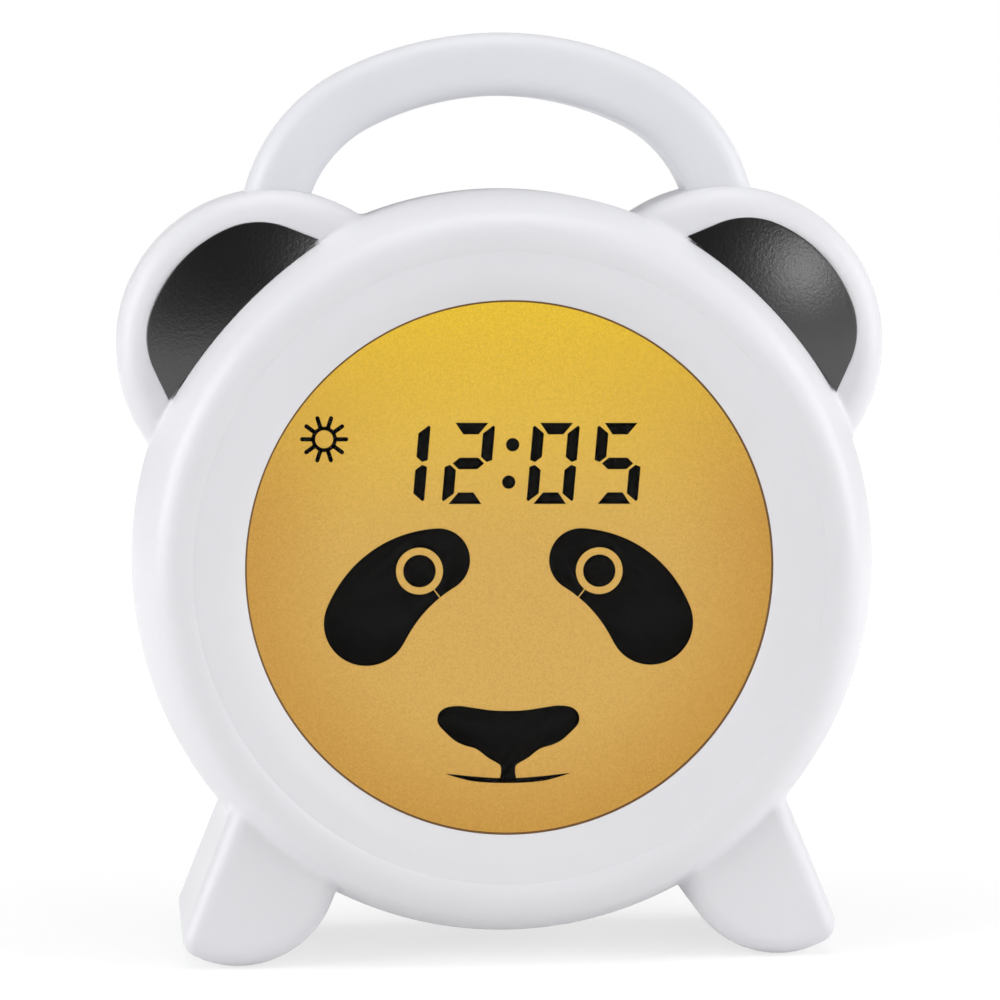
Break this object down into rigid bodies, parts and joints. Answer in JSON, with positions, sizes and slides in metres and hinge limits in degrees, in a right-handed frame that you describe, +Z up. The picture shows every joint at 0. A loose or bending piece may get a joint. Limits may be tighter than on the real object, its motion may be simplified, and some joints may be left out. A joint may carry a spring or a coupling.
{
  "type": "kids alarm clock with night light",
  "caption": "Round white animal-faced alarm clock with ears, splayed feet, a carrying handle, a backlit amber display that doubles as a night light, and rear buttons.",
  "frame": {"origin": "on the floor, under the middle of the housing, on the joint line of its two halves", "axes": "+Z up; -Y to the front, where the display faces; +X to the right seen from the front"},
  "size_m": [0.159, 0.057, 0.1912],
  "materials": {
    "shell_white": "moulded white plastic, satin gloss",
    "bezel_white": "moulded white plastic, satin gloss",
    "handle_white": "moulded white plastic, satin gloss",
    "button_white": "moulded white plastic, satin",
    "insert_black": "black plastic with a fine grain, satin",
    "pad_rubber": "matt rubber",
    "lens_clear": "clear acrylic",
    "lcd_amber": "backlit liquid crystal glass",
    "sheet_white": "matt white film",
    "guide_clear": "clear acrylic with a frosted back",
    "lamp_amber": "clear lamp package",
    "inner_plastic": "unpainted moulding",
    "ribbon_amber": "polyimide film",
    "board_green": "solder mask",
    "chip_black": "moulded black epoxy",
    "plated_steel": "nickel-plated steel",
    "capacitor_sleeve": "shrunk sleeve",
    "plug_cream": "nylon",
    "cone_black": "pressed paper",
    "magnet_grey": "plated ferrite",
    "foam_black": "closed-cell foam",
    "cell_grey": "plain painted sleeve"
  },
  "bodies": {
    "housing": {"front_shell": "shell_white", "rear_shell": "shell_white", "bezel_ring": "bezel_white", "ear_insert_left": "insert_black", "ear_insert_right": "insert_black", "carry_handle": "handle_white", "foot_pad_left": "pad_rubber", "foot_pad_right": "pad_rubber", "display_lens": "lens_clear", "lcd_panel": "lcd_amber", "diffuser_sheet": "sheet_white", "light_guide": "guide_clear", "reflector_sheet": "sheet_white", "lamp_board": "sheet_white", "lamps": "lamp_amber", "display_holder": "inner_plastic", "lcd_ribbon": "ribbon_amber", "main_board": "board_green", "processor": "chip_black", "crystal": "plated_steel", "capacitors": "capacitor_sleeve", "board_plugs": "plug_cream", "button_board": "board_green", "tact_switches": "chip_black", "switch_body": "plated_steel", "speaker_frame": "plated_steel", "speaker_cone": "cone_black", "speaker_magnet": "magnet_grey", "speaker_gasket": "foam_black", "batteries": "cell_grey", "battery_springs": "plated_steel", "battery_contacts": "plated_steel", "inlet_board": "board_green", "usb_inlet": "plated_steel", "housing_screws": "plated_steel", "holder_screws": "plated_steel", "board_screws": "plated_steel", "rear_board_screws": "plated_steel"},
    "battery_door": {"battery_door": "shell_white", "door_screw": "plated_steel"},
    "alarm_knob": {"alarm_knob": "button_white"},
    "set_button": {"set_button": "button_white"},
    "down_button": {"down_button": "button_white"},
    "up_button": {"up_button": "button_white"},
    "light_button": {"light_button": "button_white"}
  },
  "joints": [
    {"name": "battery_door_hinge", "type": "hinge", "parent": "housing", "child": "battery_door", "pos_m": [0, 0.02755, 0.03035], "axis": [-1, 0, 0], "range_deg": [0, 100]},
    {"name": "alarm_slide", "type": "slide", "parent": "housing", "child": "alarm_knob", "axis": [1, 0, 0], "range_m": [0, 0.004]},
    {"name": "set_press", "type": "slide", "parent": "housing", "child": "set_button", "axis": [0, -1, 0], "range_m": [0, 0.0008], "stiffness_N_per_m": 800},
    {"name": "down_press", "type": "slide", "parent": "housing", "child": "down_button", "axis": [0, -1, 0], "range_m": [0, 0.0008], "stiffness_N_per_m": 800},
    {"name": "up_press", "type": "slide", "parent": "housing", "child": "up_button", "axis": [0, -1, 0], "range_m": [0, 0.0008], "stiffness_N_per_m": 800},
    {"name": "light_press", "type": "slide", "parent": "housing", "child": "light_button", "axis": [0, -1, 0], "range_m": [0, 0.0008], "stiffness_N_per_m": 800}
  ]
}
